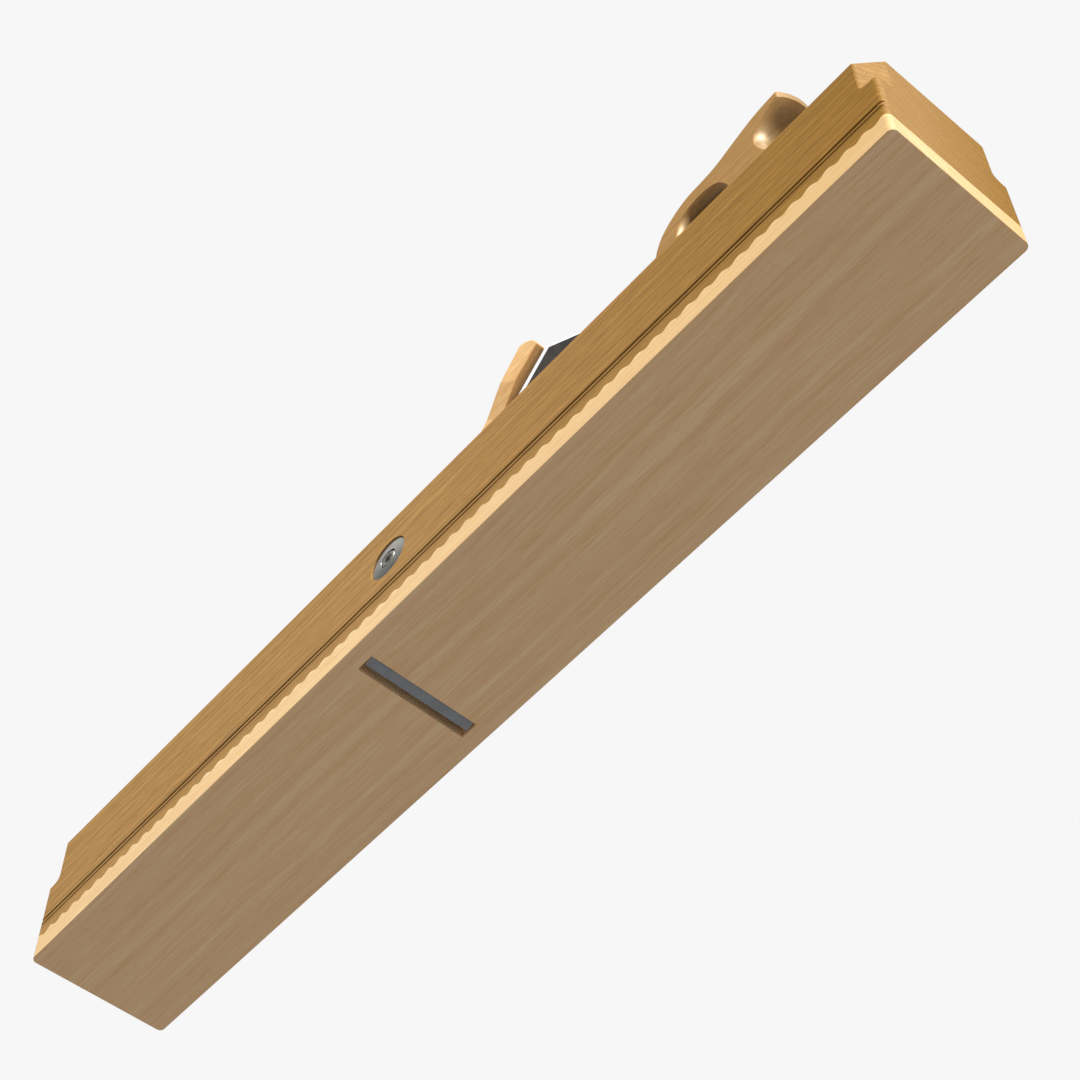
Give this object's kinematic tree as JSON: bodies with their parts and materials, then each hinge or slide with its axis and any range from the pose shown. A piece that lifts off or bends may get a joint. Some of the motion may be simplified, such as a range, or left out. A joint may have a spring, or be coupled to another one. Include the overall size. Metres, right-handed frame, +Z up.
{
  "type": "jointer plane",
  "caption": "Long wooden jointer plane with a wave-jointed hardwood sole, closed tote, strike button and a double iron wedged under a steel cross rod.",
  "frame": {"origin": "middle of the flat sole face, which is the underside the plane slides on", "axes": "+X along the sole towards the toe, +Y to the plane's left side, +Z up out of the sole through the tote"},
  "size_m": [0.6, 0.08, 0.1875],
  "materials": {
    "stock_beech": "oiled",
    "sole_hornbeam": "planed and oiled",
    "tote_beech": "oiled",
    "button_hornbeam": "oiled",
    "iron_steel": "ground",
    "cap_steel": "ground",
    "screw_steel": "turned",
    "wedge_beech": "oiled",
    "rod_steel": "turned",
    "washer_steel": "turned and zinc plated",
    "bolt_steel": "zinc plated"
  },
  "bodies": {
    "root": {"stock_body": "stock_beech", "sole": "sole_hornbeam", "tote": "tote_beech", "strike_button": "button_hornbeam", "cross_rod": "rod_steel", "left_washer": "washer_steel", "right_washer": "washer_steel", "left_bolt": "bolt_steel", "right_bolt": "bolt_steel"},
    "iron": {"plane_iron": "iron_steel"},
    "cap": {"cap_iron": "cap_steel"},
    "screw": {"cap_screw": "screw_steel"},
    "wedge": {"wedge": "wedge_beech"}
  },
  "joints": [
    {"name": "iron_slide", "type": "slide", "parent": "root", "child": "iron", "axis": [-0.7071, 0, 0.7071], "range_m": [-0.0005, 0.12]},
    {"name": "wedge_slide", "type": "slide", "parent": "iron", "child": "wedge", "axis": [-0.7071, 0, 0.7071], "range_m": [0, 0.09]},
    {"name": "cap_slide", "type": "slide", "parent": "iron", "child": "cap", "axis": [-0.7071, 0, 0.7071], "range_m": [-0.0005, 0.004]},
    {"name": "cap_screw_turn", "type": "hinge", "parent": "cap", "child": "screw", "pos_m": [-0.00784, 0, 0.04384], "axis": [0.7071, 0, 0.7071], "range_deg": [0, 360]}
  ]
}
